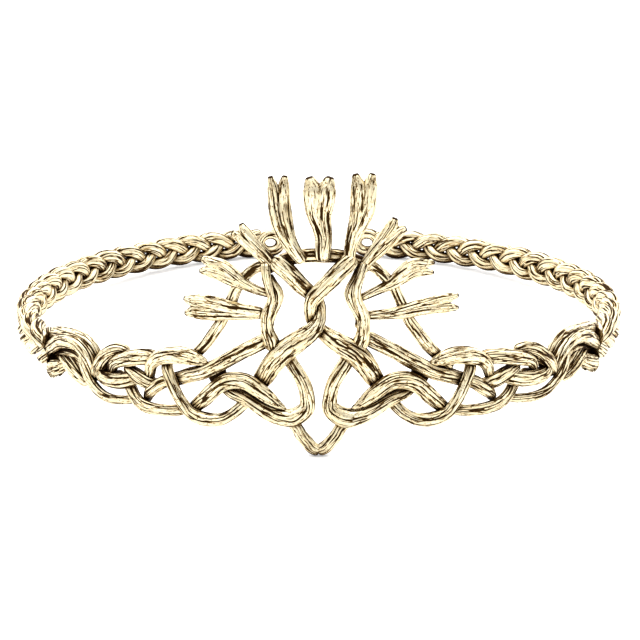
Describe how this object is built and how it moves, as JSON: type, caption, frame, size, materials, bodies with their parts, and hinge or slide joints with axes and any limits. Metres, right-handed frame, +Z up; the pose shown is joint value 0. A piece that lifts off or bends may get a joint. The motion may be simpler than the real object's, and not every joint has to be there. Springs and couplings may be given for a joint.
{
  "type": "costume crown",
  "caption": "Open-backed head ring of interlaced bark-grooved twigs in antiqued gold metal, with an openwork front panel, flared rays and plaited side bands.",
  "frame": {"origin": "middle of the crown's footprint, at the height of the surface that it rests on", "axes": "+Z up, -Y to the front of the crown, +X to its right as seen from the front"},
  "size_m": [0.182, 0.1786, 0.0687],
  "materials": {
    "panel_metal": "antiqued pale gold, bright on the ridges and dark brown in the grooves",
    "band_metal": "antiqued pale gold, bright on the ridges and dark brown in the grooves"
  },
  "bodies": {
    "root": {"front_panel": "panel_metal", "left_band": "band_metal", "right_band": "band_metal"}
  },
  "joints": []
}
